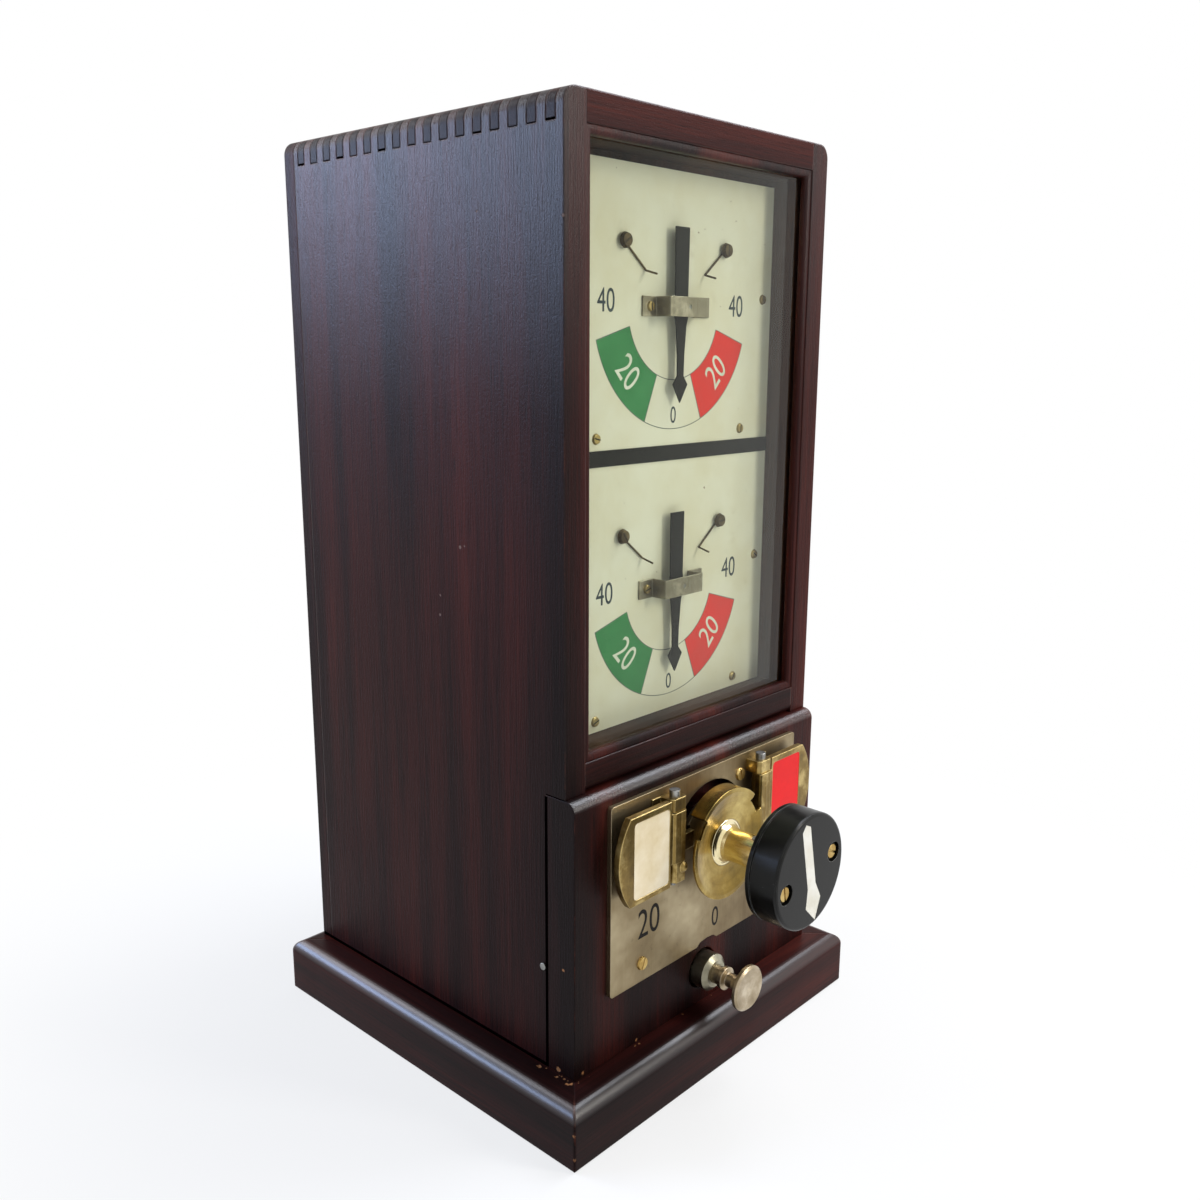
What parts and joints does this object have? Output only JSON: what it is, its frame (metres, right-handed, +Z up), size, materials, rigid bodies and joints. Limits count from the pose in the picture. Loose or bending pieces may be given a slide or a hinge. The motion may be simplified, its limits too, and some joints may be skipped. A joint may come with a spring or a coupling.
{
  "type": "railway block indicator",
  "caption": "Tall polished wooden instrument case with two needle dials behind glass, a turning commutator knob, hinged flaps and a tapper key on a brass plate below.",
  "frame": {"origin": "centre of the base's underside, on the surface that the instrument stands on", "axes": "+Z up, the longest extent; -Y towards the viewer, out of the dials; +X to the viewer's right"},
  "size_m": [0.26, 0.3158, 0.538],
  "materials": {
    "base_wood": "French-polished mahogany, dark red brown",
    "case_wood": "French-polished mahogany, dark red brown",
    "back_wood": "thinly polished mahogany",
    "bead_wood": "polished mahogany bead",
    "board_wood": "stained board",
    "glass": "clear window glass",
    "dial_enamel": "aged cream enamel on metal with three coloured sectors",
    "divider_black": "black strip",
    "needle_black": "black painted needle",
    "bridge_nickel": "dull nickelled strip",
    "small_screw_brass": "aged brass screw head",
    "stop_bronze": "dark bronzed brass",
    "steel": "turned steel",
    "plain_brass": "plain brass",
    "coil_wire": "silk-covered wire on a bobbin",
    "plate_brass": "aged lacquered brass plate",
    "screw_brass": "worn brass",
    "disc_brass": "bright turned brass",
    "ebonite": "turned black ebonite",
    "knob_black": "satin black turned knob",
    "pointer_white": "white inlay",
    "flap_bronze": "bronzed brass",
    "panel_cream": "aged cream paint",
    "panel_red": "red paint",
    "collar_nickel": "turned nickelled collar",
    "tapper_metal": "worn nickelled brass"
  },
  "bodies": {
    "case": {"back_panel": "back_wood", "back_screws": "steel", "base_board": "base_wood", "base_moulding_back": "base_wood", "base_moulding_front": "base_wood", "base_moulding_left": "base_wood", "base_moulding_right": "base_wood", "bearing_bush": "screw_brass", "bridge_lower": "bridge_nickel", "bridge_screws": "small_screw_brass", "bridge_upper": "bridge_nickel", "coil_lower": "coil_wire", "coil_upper": "coil_wire", "commutator_cover": "case_wood", "commutator_plate": "plate_brass", "dial_board": "board_wood", "dial_divider": "divider_black", "dial_plate_lower": "dial_enamel", "dial_plate_upper": "dial_enamel", "dial_screws": "small_screw_brass", "flap_bracket_left": "flap_bronze", "flap_bracket_right": "flap_bronze", "flap_pins": "steel", "front_rail": "case_wood", "glazing_frame": "bead_wood", "movement_frame_lower": "plain_brass", "movement_frame_upper": "plain_brass", "plate_screws": "screw_brass", "side_panel_left": "case_wood", "side_panel_right": "case_wood", "side_screws": "steel", "stop_screws": "stop_bronze", "stop_wires_left": "stop_bronze", "stop_wires_right": "stop_bronze", "tapper_collar": "collar_nickel", "tapper_contact": "plain_brass", "tapper_spring": "plain_brass", "top_panel": "case_wood", "window_glass": "glass", "window_lining": "bead_wood"},
    "needle_upper": {"needle_upper": "needle_black", "spindle_upper": "steel", "armature_upper": "steel"},
    "needle_lower": {"needle_lower": "needle_black", "spindle_lower": "steel", "armature_lower": "steel"},
    "commutator": {"commutator_shaft": "disc_brass", "commutator_disc": "disc_brass", "commutator_hub": "disc_brass", "hub_screw": "steel", "commutator_knob": "knob_black", "knob_pointer": "pointer_white", "knob_screws": "screw_brass", "commutator_drum": "ebonite"},
    "flap_left": {"flap_left": "flap_bronze", "flap_panel_left": "panel_cream"},
    "flap_right": {"flap_right": "flap_bronze", "flap_panel_right": "panel_red"},
    "tapper": {"tapper_plunger": "tapper_metal"}
  },
  "joints": [
    {"name": "needle_upper_swing", "type": "hinge", "parent": "case", "child": "needle_upper", "pos_m": [0, -0.0865, 0.44347], "axis": [0, 1, 0], "range_deg": [-42, 42]},
    {"name": "needle_lower_swing", "type": "hinge", "parent": "case", "child": "needle_lower", "pos_m": [0, -0.0865, 0.28882], "axis": [0, 1, 0], "range_deg": [-42, 42]},
    {"name": "commutator_turn", "type": "hinge", "parent": "case", "child": "commutator", "pos_m": [0, -0.12, 0.1424], "axis": [0, -1, 0], "range_deg": [-45, 45]},
    {"name": "flap_left_swing", "type": "hinge", "parent": "case", "child": "flap_left", "pos_m": [-0.0407, -0.1213, 0.155], "axis": [0, 0, 1], "range_deg": [0, 90]},
    {"name": "flap_right_swing", "type": "hinge", "parent": "case", "child": "flap_right", "pos_m": [0.0407, -0.1213, 0.155], "axis": [0, 0, -1], "range_deg": [0, 90]},
    {"name": "tapper_push", "type": "slide", "parent": "case", "child": "tapper", "axis": [0, 1, 0], "range_m": [0, 0.0035], "stiffness_N_per_m": 500, "springref_m": -0.002, "deforming": ["tapper_spring"]}
  ]
}
